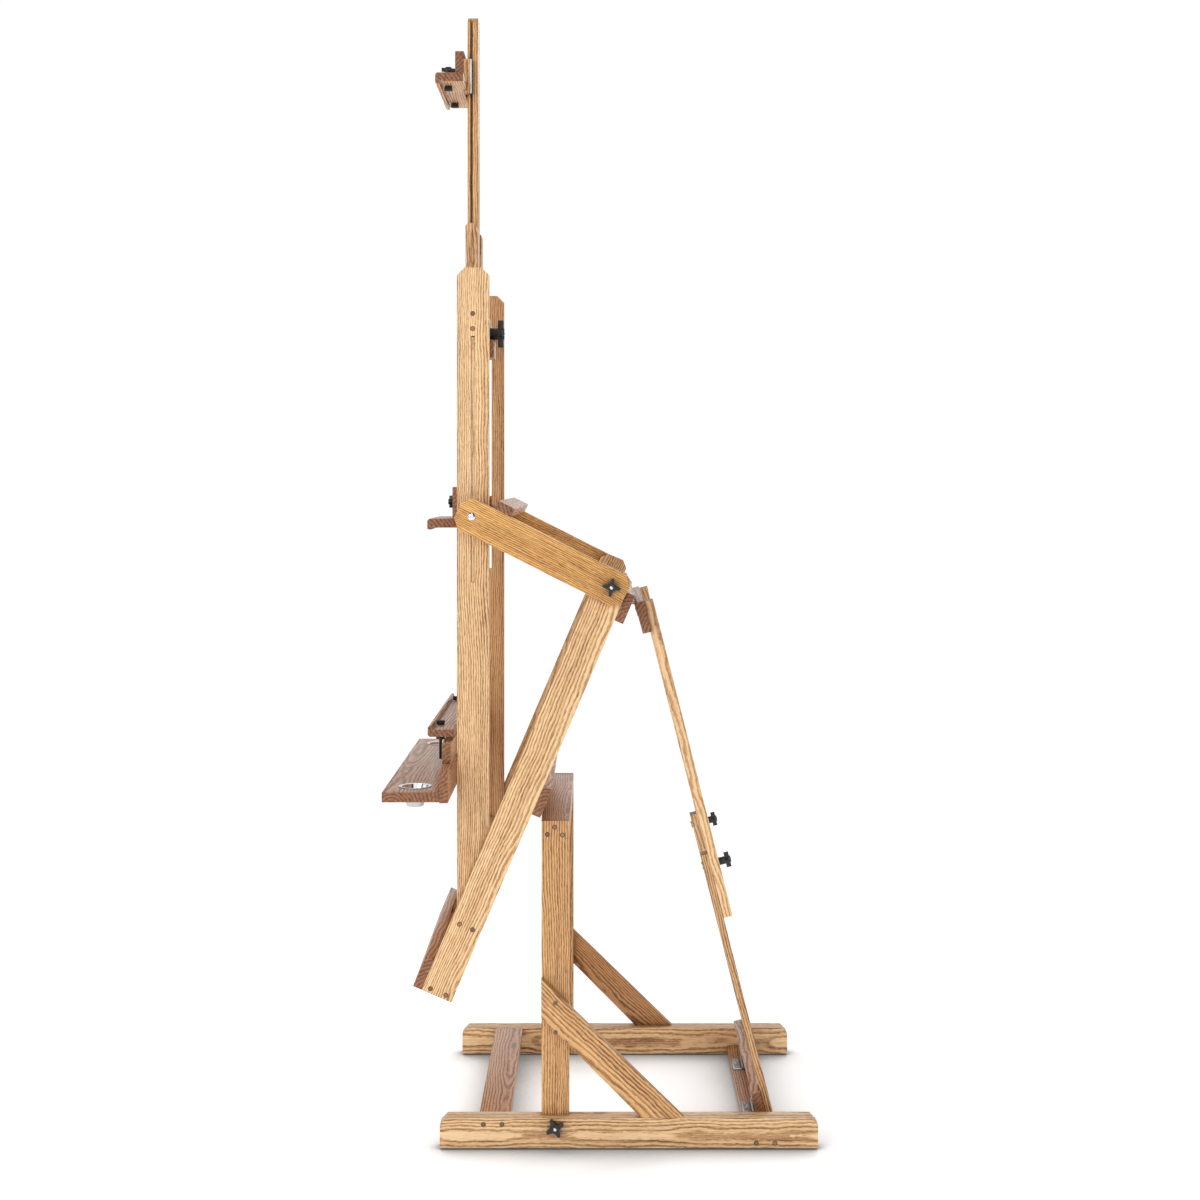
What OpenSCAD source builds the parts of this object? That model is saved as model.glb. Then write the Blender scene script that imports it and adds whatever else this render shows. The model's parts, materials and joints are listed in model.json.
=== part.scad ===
// Studio easel in red oak: a floor base, a tilting swing frame, a propped H-frame with
// a two-stage mast, three canvas holders and a tray. Millimetres, +Z up, artist at -Y.
// The origin is on the floor under the centre of the base.

/* [Stock] */
// Thickness of the oak boards
board_t = 19; // [18:0.5:20]
// Depth of the two long side members of the easel frame and the swing frame
member_d = 66; // [62:1:70]
// Clip at the corners of visible board ends
clip = 14; // [8:1:16]
// Diameter of the wooden plugs over the screws
plug_d = 10; // [8:0.5:12]
// Diameter of the carriage bolts and studs
bolt_d = 6.4; // [6:0.1:6.6]

/* [Base] */
// Overall width across the runners
base_w = 648; // [640:1:656]
// Overall length of the runners
base_l = 772; // [740:2:800]
// Height of the round feet under the runners
foot_h = 3.5; // [3:0.5:6]
// Height of a runner
runner_h = 61.5; // [58:0.5:64]
// Front face of the uprights
upright_y = -179; // [-182:1:-176]
// Depth of the uprights and of the rail between them
upright_d = 57; // [54:1:60]
// Height of the uprights above the floor
upright_top = 668; // [664:1:672]
// Width of the two flat boards that join the runners
cross_w = 64; // [58:1:70]
// Height of the brace on the upright
brace_top = 348; // [330:2:370]
// Width of a brace measured up its upright
brace_rise = 78; // [70:1:86]

/* [Swing frame] */
// Tilt of the swing frame from vertical when the easel frame stands upright
swing_deg = 23.15; // [22.6:0.05:23.6]
// Foot of the swing frame, measured down from the easel frame's pivot
swing_low = 187; // [180:1:195]
// Top of the swing frame, measured up from the easel frame's pivot
swing_high = 760; // [756:1:766]
// Distance from the easel frame's pivot to the base hinge, along the swing frame
hinge_up = 227; // [224:1:230]

/* [Easel frame] */
// Top of the side members above the floor
frame_top = 1804; // [1790:2:1820]
// Bottom and top of the slot for the arm bolts
slot_z = [1157, 1663]; // [1150:1:1670]
// Pitch of an arm, from its slot bolt to its rear knob
arm_pitch = 318.5; // [316:0.5:320]
// Width of an arm
arm_w = 70; // [66:1:72]
// Half-width of the outer edge of the middle stiles
stile_x = 130; // [126:1:134]

/* [Mast] */
// Top of the lower mast stage
stage_top = 1925; // [1900:5:1950]
// Top of the upper mast
mast_top = 2386; // [2350:2:2400]
// Width of the upper mast
mast_w = 64; // [60:1:66]

/* [Holders and tray] */
// Underside of the top canvas holder
top_holder_z = 2221; // [2200:1:2240]
// Underside of the middle canvas holder
mid_holder_z = 1265; // [1262:1:1290]
// Width of the top and middle holders
holder_w = 282; // [272:2:290]
// Underside of the canvas ledge
ledge_z = 838; // [836:1:842]
// Width of the canvas ledge
ledge_w = 580; // [560:2:600]
// Width of the tray
tray_w = 760; // [740:2:780]
// Depth of the tray board
tray_d = 116; // [108:1:120]
// Rim diameter of the two cups
cup_d = 69; // [64:1:72]

/* [Hidden] */
$fn = 32;

oak = "#D6AA76";
dark_oak = "#A8794F";
plug = "#9A6A42";
black = "#202022";
steel = "#C4C8CC";

// Clearance beside a moving board, radial clearance of a turning pin, the fine seam that
// keeps two boards of one node as separate solids, the clearance under a knob, and how far
// a plug stands proud
gap = 0.4;
run = 0.05;
seam = 0.1;
knob_gap = 0.3;
plug_h = 0.5;
bolt_r = bolt_d / 2;

// Base
half_w = base_w / 2;
runner_t = 2 * board_t;
runner_top = foot_h + runner_h;
runner_in = half_w - runner_t;
runner_mid = half_w - board_t;
upright_back = upright_y + upright_d;
rear_top = foot_h + board_t + 0.5;
front_board_y = -275;
rear_board_y = 275;
base_bolt_y = upright_y + upright_d / 2;
base_bolt_z = 47;
base_hinge_x = 200;
foot_hinge_x = 145;

// Hinges: radius of a knuckle and its pin, thickness of a leaf, length of a hinge
knuckle_r = 3.8;
pin_r = 2;
leaf_t = 2;
hinge_l = 76;

// Axis of the hinges between base and swing frame, as [y, z]
swing_axis = [upright_y - 3, upright_top + 4];
hinge_back = member_d / 2 + board_t + 1;

// A point n behind and w up the swing frame, from the easel frame's pivot, as [y, z]
function along_swing(n, w) = [n * cos(swing_deg) + w * sin(swing_deg),
                              w * cos(swing_deg) - n * sin(swing_deg)];

// Pivot of the easel frame on the swing frame
frame_axis = swing_axis - along_swing(hinge_back, hinge_up);
frame_y = frame_axis[0];
// Rear pivot of the arms, and the slot bolt's place in the slot
arm_rear = frame_axis + along_swing(0, 723);
slot_bolt_z = arm_rear[1] + sqrt(pow(arm_pitch, 2) - pow(arm_rear[0] - frame_y, 2));
arm_axis = [frame_y, slot_bolt_z];
arm_deg = asin((slot_bolt_z - arm_rear[1]) / arm_pitch);

// Hinge axes at the head and the foot of the prop
head_n = member_d / 2 + board_t + 5;
head_w = 706;
head_axis = frame_axis + along_swing(head_n, head_w);
foot_axis = [267, rear_top + 5];
foot_face = 4.3;
slat_y = foot_face + board_t;
slat_t = 15;
upper_y = slat_y + slat_t + 0.1;
slat_x = 208;
slat_w = 38;
head_offset = upper_y - board_t - 4;
prop_span = head_axis - foot_axis;
prop_deg = atan(-prop_span[0] / prop_span[1]) + asin(head_offset / norm(prop_span));
prop_l = sqrt(pow(norm(prop_span), 2) - pow(head_offset, 2));
prop_bolt_z = prop_l - 570;

// Swing frame and easel frame, as inner faces of their side members
swing_in = 300;
swing_out = swing_in + board_t;
frame_in = swing_in - gap - board_t;
frame_front = frame_y - member_d / 2;
frame_back = frame_y + member_d / 2;
slot_w = bolt_d + 1;
arm_in = swing_out + gap;
arm_out = arm_in + board_t;
rung_top = 23.5;
frame_foot = 16;

// Middle stiles, and the grooves that guide the mast and the holders
stile_t = 22;
stile_front = frame_front + 1;
stile_back = stile_front + stile_t;
rail_back = stile_back + board_t;
stage_x = 89;
groove_y = frame_front + 8.6;
groove_w = 5;
groove_d = 5;
mast_groove_d = 10;
tongue_t = 4.2;
tongue_y = groove_y + (groove_w - tongue_t) / 2;
stage_d = 27;
stage_y = frame_front + 1.8;
mast_t = 23;
mast_y = frame_front + 2.4;
rail_z = 1662;
rail_h = 64;
mast_knob_z = 1691;
mast_screw_r = 4;
plate_t = 8;

// Tray group
apron_y = frame_front - 12 - board_t;
slide_t = 8;
slide_y = apron_y + board_t + seam;
tray_z = 719;
tray_t = 20;
tray_back_z = 717;
cup_x = 304;
cup_y = frame_y - 118;
cup_hole_r = 29;
holder_t = 19;
holder_d = 60;
pad_x = 89;
pad_screw_r = 3.2;
apron_top = ledge_z - 12;

// ---------- shared shapes ----------

// The children on the right, and mirrored on the left
module both_sides() {
    children();
    mirror([1, 0, 0]) children();
}

// An outline of [y, z] points, t thick along X from x
module side_board(x, t, outline) {
    translate([x, 0, 0]) rotate([90, 0, 90]) linear_extrude(t) polygon(outline);
}

// A cylinder along X from x
module x_rod(x, l, y, z, r) {
    translate([x, y, z]) rotate([0, 90, 0]) cylinder(h = l, r = r);
}

// A cylinder along Y from y
module y_rod(x, y, l, z, r) {
    translate([x, y + l, z]) rotate([90, 0, 0]) cylinder(h = l, r = r);
}

// A board centred on the middle plane, from a low corner [y, z] to a high corner
module cross_board(w, low, high) {
    translate([-w / 2, low[0], low[1]]) cube([w, high[0] - low[0], high[1] - low[1]]);
}

// The swing frame's coordinates: Y behind it, Z up along it, from the easel frame's pivot
module in_swing() {
    translate([0, frame_axis[0], frame_axis[1]]) rotate([-swing_deg, 0, 0]) children();
}

// The prop's coordinates: Y behind it, Z up along it, from its foot hinge
module in_prop() {
    translate([0, foot_axis[0], foot_axis[1]]) rotate([prop_deg, 0, 0]) children();
}

// The arm's coordinates: Y along it to the rear, Z square to it, from its slot bolt
module in_arm() {
    translate([0, arm_axis[0], arm_axis[1]]) rotate([-arm_deg, 0, 0]) children();
}

// Outline of a star with four slender prongs: one prong and the hollow beside it, four
// times round, for a star of radius 1
prong = [[0.46, -0.22], [0.94, -0.15], [1, -0.08], [1, 0.08], [0.94, 0.15], [0.46, 0.22], [0.28, 0.28]];
star = [for (k = [0 : 3]) let (c = cos(90 * k), n = sin(90 * k)) each
        [for (p = prong) [c * p[0] - n * p[1], n * p[0] + c * p[1]]]];

// Four-prong knob along +Z: a round neck, the prongs and a hub that stands a little proud
module star_body(d, h, neck = 4, neck_d = 16) {
    proud = 2;
    cylinder(h = neck + 0.5, r = neck_d / 2);
    translate([0, 0, neck]) linear_extrude(h - proud) polygon(star * d / 2);
    cylinder(h = neck + h, r = d * 0.22);
}

// The same knob with a blind bore that turns on its bolt
module star_knob(d, h, neck = 4) {
    difference() {
        star_body(d, h, neck);
        translate([0, 0, -1]) cylinder(h = neck + h * 0.7 + 1, r = bolt_r + run);
    }
}

// One leaf of a butt hinge on the X axis. It carries the knuckles in spans, and its
// plate reaches from clear of the knuckles to reach, with its face at low.
module hinge_leaf(spans, low, reach, pin_bore = pin_r + run) {
    edge = knuckle_r + 0.7;
    difference() {
        union() {
            translate([-hinge_l / 2, edge, low]) cube([hinge_l, reach - edge, leaf_t]);
            for (s = spans) {
                x_rod(s[0], s[1] - s[0], 0, 0, knuckle_r);
                translate([s[0], 0, low]) cube([s[1] - s[0], edge + 0.5, leaf_t]);
            }
        }
        x_rod(-hinge_l / 2 - 1, hinge_l + 2, 0, 0, pin_bore);
        for (x = [-hinge_l / 3, 0, hinge_l / 3])
            translate([x, (edge + reach) / 2, low - 1]) cylinder(h = leaf_t + 2, r = 1.8);
    }
}

// Knuckle spans of the fixed leaf and of the turning leaf, with 0.4 between them
fixed_spans = [[-38, -23], [-7.4, 7.4], [23, 38]];
turning_spans = [[-22.6, -7.8], [7.8, 22.6]];

// A hinge pin along X at the origin
module hinge_pin() {
    x_rod(-hinge_l / 2 - 0.5, hinge_l + 1, 0, 0, pin_r);
}

// ---------- base ----------

module runners() {
    outline = [[-base_l / 2, foot_h], [base_l / 2, foot_h], [base_l / 2, runner_top - clip],
               [base_l / 2 - clip, runner_top], [-base_l / 2 + clip, runner_top],
               [-base_l / 2, runner_top - clip]];
    color(oak) both_sides() difference() {
        side_board(runner_in, runner_t, outline);
        translate([runner_in - 1, upright_y, foot_h - 1])
            cube([board_t + 1, upright_d, runner_h + 2]);
        x_rod(runner_mid - 1, board_t + 2, base_bolt_y, base_bolt_z, bolt_r + run);
    }
}

module uprights() {
    color(oak) both_sides() difference() {
        translate([runner_in, upright_y, foot_h])
            cube([board_t, upright_d, upright_top - foot_h]);
        x_rod(runner_mid - 14, 15, base_bolt_y, base_bolt_z, bolt_r + run);
    }
}

module top_cross_rail() {
    color(dark_oak)
        cross_board(2 * runner_in, [upright_y, upright_top - 2 * board_t], [upright_back, upright_top]);
}

module braces() {
    foot_y = upright_y + (brace_top - runner_top) * 1.03;
    outline = [[upright_y, brace_top], [foot_y, runner_top], [foot_y - brace_rise * 1.12, runner_top],
               [upright_y, brace_top - brace_rise]];
    color(oak) both_sides() side_board(runner_mid, board_t, outline);
}

module front_cross_board() {
    color(oak) cross_board(2 * runner_in, [front_board_y - cross_w / 2, runner_top - board_t],
                           [front_board_y + cross_w / 2, runner_top]);
}

module rear_cross_board() {
    color(oak) cross_board(2 * runner_in, [rear_board_y - cross_w / 2, foot_h + 0.5],
                           [rear_board_y + cross_w / 2, rear_top]);
}

module base_feet() {
    color(black) both_sides() for (y = [-350, 350])
        translate([half_w - runner_t / 2, y, 0]) cylinder(h = foot_h, r1 = 6.4, r2 = 7.2);
}

module base_plugs() {
    color(plug) both_sides() {
        for (p = [[-297, 52], [-259, 52], [260, 14], [298, 14]])
            x_rod(half_w, plug_h, p[0], p[1], plug_d / 2);
        for (p = [[-152, 655], [-167, 640], [-136, 639]])
            x_rod(runner_mid, plug_h, p[0], p[1], plug_d / 2);
    }
}

module brace_screws() {
    color(steel) both_sides() for (p = [[-150, 300], [-150, 240]])
        x_rod(half_w, 0.8, p[0], p[1], 4.5);
}

module base_bolts() {
    color(steel) both_sides()
        x_rod(runner_mid - 14, board_t + 14 + 12, base_bolt_y, base_bolt_z, bolt_r);
}

module base_hinge_leaves() {
    color(steel) {
        both_sides() translate([base_hinge_x, swing_axis[0], swing_axis[1]])
            mirror([0, 0, 1]) rotate([90, 0, 0])
                hinge_leaf(fixed_spans, swing_axis[0] - upright_y, 32);
        both_sides() translate([foot_hinge_x, foot_axis[0], foot_axis[1]]) rotate(180)
            hinge_leaf(fixed_spans, rear_top - foot_axis[1], 22);
    }
}

module base_hinge_pins() {
    color(steel) both_sides() {
        translate([base_hinge_x, swing_axis[0], swing_axis[1]]) hinge_pin();
        translate([foot_hinge_x, foot_axis[0], foot_axis[1]]) hinge_pin();
    }
}

module base_knob() {
    translate([half_w + knob_gap, base_bolt_y, base_bolt_z]) rotate([0, 90, 0])
        rotate(28) star_knob(38, 13);
}

module base_knob_left() { color(black) mirror([1, 0, 0]) base_knob(); }
module base_knob_right() { color(black) base_knob(); }

// ---------- swing frame ----------

pivot_pin_r = 5;

module swing_members() {
    half = member_d / 2;
    outline = [[-half, -swing_low], [half, -swing_low], [half, swing_high - clip],
               [half - clip, swing_high], [-half + clip, swing_high], [-half, swing_high - clip]];
    color(oak) both_sides() in_swing() difference() {
        side_board(swing_in, board_t, outline);
        x_rod(swing_in - 1, 15, 0, 0, pivot_pin_r + run);
    }
}

module swing_foot_board() {
    color(dark_oak) in_swing() cross_board(2 * swing_out, [-member_d / 2 - board_t, -swing_low],
                                           [-member_d / 2, -122]);
}

module swing_rungs() {
    color(oak) in_swing() for (top = [-168, -rung_top])
        cross_board(2 * swing_in, [-30, top - board_t], [30, top]);
}

module swing_middle_board() {
    color(dark_oak) in_swing() cross_board(2 * swing_out, [member_d / 2, hinge_up + 4],
                                           [member_d / 2 + board_t, hinge_up + 67]);
}

module swing_top_board() {
    color(dark_oak) in_swing()
        cross_board(2 * swing_out, [member_d / 2, 662], [member_d / 2 + board_t, 725]);
}

module swing_plugs() {
    color(plug) both_sides() in_swing()
        for (p = [[-14.5, -33], [14.5, -33], [-17, -177.5], [17, -177.5]])
            x_rod(swing_out, plug_h, p[0], p[1], plug_d / 2);
}

module swing_hinge_leaves() {
    color(steel) both_sides() in_swing() {
        translate([base_hinge_x, hinge_back, hinge_up]) rotate([180, 0, 0])
            hinge_leaf(turning_spans, -4, 18);
        translate([base_hinge_x, head_n, head_w]) rotate([90, 0, 0])
            hinge_leaf(fixed_spans, 3, 19);
    }
}

// Pins that the easel frame turns on, and the stub pins in the head hinges
module swing_pivot_pins() {
    color(steel) both_sides() in_swing() {
        x_rod(frame_in + 3, swing_in + 13 - frame_in - 3, 0, 0, pivot_pin_r);
        for (s = [fixed_spans[0], fixed_spans[2]])
            x_rod(base_hinge_x + s[0], s[1] - s[0], head_n, head_w, pin_r);
    }
}

// ---------- prop ----------

module prop_foot_rail() {
    color(dark_oak) in_prop() cross_board(512, [foot_face, 3.2], [slat_y, 63.2]);
}

module lower_prop_slats() {
    color(oak) both_sides() in_prop() difference() {
        translate([slat_x, slat_y, 3.2]) cube([slat_w, slat_t, prop_l - 545 - 3.2]);
        y_rod(slat_x + slat_w / 2, slat_y - 1, slat_t + 2, prop_bolt_z, bolt_r + run);
    }
}

module prop_foot_leaves() {
    color(steel) both_sides() in_prop() translate([foot_hinge_x, 0, 0]) rotate([90, 0, 0])
        hinge_leaf(turning_spans, -foot_face, 28);
}

// Carriage bolts that clamp the two slats of each side, with a spacer washer
module prop_bolts() {
    x = slat_x + slat_w / 2;
    color(steel) both_sides() in_prop() {
        y_rod(x, slat_y - 3, 3, prop_bolt_z, 8);
        y_rod(x, slat_y, 46, prop_bolt_z, bolt_r);
    }
}

module prop_knob() {
    in_prop() translate([slat_x + slat_w / 2, upper_y + board_t + knob_gap, prop_bolt_z])
        rotate([-90, 0, 0]) star_knob(32, 12, 13);
}

module prop_knob_left() { color(black) mirror([1, 0, 0]) prop_knob(); }
module prop_knob_right() { color(black) prop_knob(); }

module prop_head_board() {
    color(dark_oak) in_prop()
        cross_board(520, [upper_y - board_t, prop_l - board_t * 3.5], [upper_y, prop_l]);
}

module upper_prop_slats() {
    low = prop_l - 683;
    slot_low = prop_l - 645;
    slot_high = prop_l - 148;
    color(oak) both_sides() in_prop() difference() {
        translate([slat_x, upper_y, low]) cube([slat_w, board_t, 680]);
        translate([slat_x + slat_w / 2 - slot_w / 2, upper_y - 1, slot_low])
            cube([slot_w, board_t + 2, slot_high - slot_low]);
    }
}

module prop_head_leaves() {
    color(steel) both_sides() in_prop() translate([base_hinge_x, head_offset, prop_l])
        rotate([-90, 0, 0]) hinge_leaf(turning_spans, upper_y - board_t - head_offset - leaf_t, 30);
}

// ---------- easel frame ----------

module frame_sides() {
    foot = frame_axis[1] - frame_foot;
    outline = [[frame_front, foot + 15], [frame_front + 15, foot], [frame_back - 15, foot],
               [frame_back, foot + 15], [frame_back, frame_top - clip - 2],
               [frame_back - clip - 2, frame_top], [frame_front + clip + 2, frame_top],
               [frame_front, frame_top - clip - 2]];
    color(oak) both_sides() difference() {
        side_board(frame_in, board_t, outline);
        x_rod(frame_in - 1, board_t + 2, frame_y, frame_axis[1], pivot_pin_r + run);
        translate([frame_in - 1, frame_y - slot_w / 2, slot_z[0]])
            cube([board_t + 2, slot_w, slot_z[1] - slot_z[0]]);
    }
}

module frame_top_rail() {
    color(oak) difference() {
        cross_board(2 * frame_in, [stile_back, rail_z], [rail_back, rail_z + rail_h]);
        cross_board(2 * stage_x + 2 * gap, [stile_back - 1, rail_z - 1],
                    [stage_y + stage_d + gap, rail_z + rail_h + 1]);
        y_rod(0, stile_back, board_t + 1, mast_knob_z, mast_screw_r + run);
    }
}

module frame_bottom_rail() {
    color(oak) cross_board(2 * frame_in, [stile_back, 505], [rail_back, 569]);
}

module frame_stiles() {
    low = 505;
    color(oak) both_sides() difference() {
        translate([stage_x + gap, stile_front, low])
            cube([stile_x - stage_x - gap, stile_t, rail_z + rail_h - low]);
        translate([stile_x - groove_d, groove_y, low - 1])
            cube([groove_d + 1, groove_w, rail_z + rail_h - low + 2]);
        translate([stage_x, groove_y, low - 1])
            cube([groove_d + gap, groove_w, rail_z + rail_h - low + 2]);
    }
}

module frame_plugs() {
    color(plug) both_sides() for (z = [1709, 1678, 520, 554])
        x_rod(frame_in + board_t, gap - seam, stile_back + board_t / 2, z, plug_d / 2);
}

// Block behind the top rail that backs up the mast screw, with a thicker lower edge
module mast_clamp_block() {
    top = rail_z + rail_h;
    step_z = rail_z + 12;
    outline = [[rail_back, rail_z - 26], [rail_back + board_t, rail_z - 26],
               [rail_back + board_t, step_z], [rail_back + plate_t, step_z],
               [rail_back + plate_t, top], [rail_back, top]];
    color(dark_oak) difference() {
        side_board(-45, 90, outline);
        y_rod(0, rail_back - 1, plate_t + 2, mast_knob_z, mast_screw_r + run);
    }
}

module mast_knob() {
    color(black) {
        y_rod(0, mast_y + mast_t + knob_gap, rail_back + 12 - mast_y - mast_t, mast_knob_z,
              mast_screw_r);
        translate([0, rail_back + plate_t + knob_gap, mast_knob_z]) rotate([-90, 0, 0])
            star_body(60, 14, 17.5, 24);
    }
}

// ---------- arms ----------

// Carriage bolts through arm, spacer and slot
module slot_bolts() {
    color(steel) both_sides() {
        x_rod(frame_in - 12, arm_out - frame_in + 12, arm_axis[0], arm_axis[1], bolt_r);
        x_rod(arm_out, 3.5, arm_axis[0], arm_axis[1], 8);
        difference() {
            x_rod(swing_in, board_t, arm_axis[0], arm_axis[1], 12);
            x_rod(swing_in - 1, board_t + 2, arm_axis[0], arm_axis[1], bolt_r + 0.001);
        }
    }
}

module slot_knob() {
    translate([frame_in - knob_gap, arm_axis[0], arm_axis[1]]) rotate([0, -90, 0])
        star_knob(36, 13);
}

module slot_knob_left() { color(black) mirror([1, 0, 0]) slot_knob(); }
module slot_knob_right() { color(black) slot_knob(); }

module arms() {
    half = arm_w / 2;
    cut = 17;
    front = -31;
    back = arm_pitch + 33;
    outline = [[front + cut, -half], [back - cut, -half], [back, -half + cut], [back, half - cut],
               [back - cut, half], [front + cut, half], [front, half - cut], [front, -half + cut]];
    color(dark_oak) both_sides() in_arm() difference() {
        side_board(arm_in, board_t, outline);
        x_rod(arm_in - 1, board_t + 2, 0, 0, bolt_r + run);
        x_rod(arm_in - 1, board_t + 2, arm_pitch, 0, bolt_r + run);
    }
}

module arm_cross_bar() {
    color(dark_oak) in_arm()
        cross_board(2 * arm_out, [53 - board_t, arm_w / 2], [53 + board_t, arm_w / 2 + board_t]);
}

// The stud and the knob turn together, and the stud stops short of the swing frame
module arm_knob() {
    in_arm() translate([arm_in + 0.2, arm_pitch, 0]) rotate([0, 90, 0]) {
        cylinder(h = board_t + 8, r = bolt_r);
        translate([0, 0, board_t]) rotate(arm_deg - 10) star_body(37, 13);
    }
}

module arm_knob_left() { color(black) mirror([1, 0, 0]) arm_knob(); }
module arm_knob_right() { color(black) arm_knob(); }

// ---------- mast ----------

stage_low = 1125;

// Two boards with tongues on both edges, and a block that joins their feet
module mast_stage() {
    inner = mast_w / 2 + 1;
    w = stage_x - inner;
    outline = [[stage_y, stage_low], [stage_y + stage_d, stage_low],
               [stage_y + stage_d, stage_top - 12], [stage_y + stage_d - 9, stage_top],
               [stage_y + 5, stage_top], [stage_y, stage_top - 6]];
    color(oak) {
        both_sides() {
            side_board(inner, w, outline);
            translate([inner - 5, tongue_y, stage_low])
                cube([w + 9.5, tongue_t, stage_top - stage_low - 20]);
        }
        cross_board(2 * inner - 2 * seam, [stage_y, stage_low], [stage_y + stage_d, stage_low + 60]);
    }
}

module upper_mast() {
    half = mast_w / 2;
    low = 1400;
    color(oak) difference() {
        translate([-half, mast_y, low]) cube([mast_w, mast_t, mast_top - low]);
        both_sides() {
            translate([half - mast_groove_d, groove_y, low - 1])
                cube([mast_groove_d + 1, groove_w, mast_top - low + 2]);
            translate([half, mast_y - 1, mast_top]) rotate([0, 45, 0])
                translate([-8, 0, -8]) cube([16, mast_t + 2, 16]);
        }
    }
}

// ---------- canvas holders ----------

// Ledge outline in [y, z] with its lip down at the front, a groove behind the lip
lip = 4;
module holder_ledge(back_y, low) {
    front = back_y - holder_d;
    outline = [[front, low - lip + 2], [front + 2, low - lip], [front + 8, low - lip],
               [front + 10, low + 3], [front + 15, low + 3], [front + 17, low],
               [back_y, low], [back_y, low + holder_t], [front + 4, low + holder_t],
               [front, low + holder_t - 4]];
    side_board(-holder_w / 2, holder_w, outline);
}

// Cleats w wide beside a track of half-width track, from y back to the steel strips
module cleats(track, w, y, z) {
    both_sides() translate([track + gap, y + seam, z[0]])
        cube([w - gap, tongue_y - y - seam, z[1] - z[0]]);
}

// The top holder's plate stands on its ledge, which is notched round the cleats
top_plate_y = mast_y - 7 - board_t;
top_ledge_y = mast_y - 1.5;
top_pad_y = top_ledge_y - 36;
top_cleat_z = [top_holder_z - 6, top_holder_z + 69];
top_cleat_w = 18;
top_half = mast_w / 2 + top_cleat_w;

module top_holder() {
    plate_back = top_plate_y + board_t;
    color(dark_oak) {
        difference() {
            holder_ledge(top_ledge_y, top_holder_z);
            cross_board(2 * top_half + 2 * gap, [plate_back, top_holder_z - 1],
                        [plate_back + 20, top_holder_z + holder_t + 1]);
            for (x = [-pad_x, pad_x])
                translate([x, top_pad_y, top_holder_z - 10]) cylinder(h = 40, r = pad_screw_r + run);
        }
        cross_board(2 * top_half, [top_plate_y, top_holder_z + holder_t + seam],
                    [plate_back, top_holder_z + 86]);
        cleats(mast_w / 2, top_cleat_w, plate_back, top_cleat_z);
    }
}

// Steel strips on the cleats that run in the grooves of the track
module tongues(track, w, z) {
    both_sides() translate([track - 4, tongue_y, z[0]]) cube([w + 4, tongue_t, z[1] - z[0]]);
}

module top_holder_tongues() {
    color(steel) tongues(mast_w / 2, top_cleat_w, top_cleat_z);
}

// A turning pad screw: rubber pad below, screw through the ledge, knob above
module top_pad() {
    translate([pad_x, top_pad_y, top_holder_z]) {
        translate([0, 0, -9]) cylinder(h = 8.7, r1 = 9.5, r2 = 8);
        translate([0, 0, -2]) cylinder(h = holder_t + 6, r = pad_screw_r);
        translate([0, 0, holder_t + knob_gap]) rotate(20) star_body(30, 10, 12, 12);
    }
}

module top_pad_left() { color(black) mirror([1, 0, 0]) top_pad(); }
module top_pad_right() { color(black) top_pad(); }

// The middle holder's plate is rebated over the back edge of its ledge
mid_plate_y = stile_front - 4 - board_t;
mid_screw_z = mid_holder_z + 54;
mid_cleat_w = holder_w / 2 - stile_x;
mid_cleat_z = [mid_holder_z + 3, mid_holder_z + 83];

module middle_holder() {
    ledge_y = mid_plate_y + 6;
    back_y = mid_plate_y + board_t;
    top = mid_holder_z + 87;
    shelf = mid_holder_z + holder_t + seam;
    outline = [[ledge_y + seam, mid_holder_z], [back_y, mid_holder_z], [back_y, top],
               [mid_plate_y, top], [mid_plate_y, shelf], [ledge_y + seam, shelf]];
    color(dark_oak) {
        holder_ledge(ledge_y, mid_holder_z);
        difference() {
            side_board(-holder_w / 2, holder_w, outline);
            y_rod(0, mid_plate_y - 1, board_t + 2, mid_screw_z, pad_screw_r + run);
        }
        cleats(stile_x, mid_cleat_w, back_y, mid_cleat_z);
    }
}

module middle_holder_tongues() {
    color(steel) tongues(stile_x, mid_cleat_w, mid_cleat_z);
}

module middle_knob() {
    color(black) translate([0, mid_plate_y, mid_screw_z]) rotate([90, 0, 0]) {
        translate([0, 0, -board_t - 3]) cylinder(h = board_t + 11, r = pad_screw_r);
        translate([0, 0, knob_gap]) star_body(27, 12, 8, 12);
    }
}

// ---------- ledge and tray ----------

ledge_screw_x = 213;
ledge_screw_y = frame_y - 74;

module ledge() {
    back_y = frame_front - 7;
    front = frame_y - 94;
    outline = [[front, ledge_z + 4], [front + 4, ledge_z], [back_y, ledge_z],
               [back_y, ledge_z + 15], [front + 16, ledge_z + 15], [front + 14, ledge_z + 12],
               [front + 10, ledge_z + 12], [front + 7, ledge_z + 22], [front + 3, ledge_z + 22],
               [front, ledge_z + 19]];
    color(dark_oak) difference() {
        side_board(-ledge_w / 2, ledge_w, outline);
        for (x = [-ledge_screw_x, ledge_screw_x]) translate([x, ledge_screw_y, ledge_z - 5])
            cylinder(h = 40, r = pad_screw_r + run);
    }
}

// A turning pad screw: rubber pad above the ledge, knob between the ledge and the apron
module ledge_pad() {
    translate([ledge_screw_x, ledge_screw_y, ledge_z]) {
        translate([0, 0, 15.3]) cylinder(h = 8, r1 = 8, r2 = 9.5);
        translate([0, 0, -57]) cylinder(h = 75, r = pad_screw_r);
        translate([0, 0, -knob_gap]) mirror([0, 0, 1]) star_body(19, 15, 2, 12);
    }
}

module ledge_pad_left() { color(black) mirror([1, 0, 0]) ledge_pad(); }
module ledge_pad_right() { color(black) ledge_pad(); }

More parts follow.
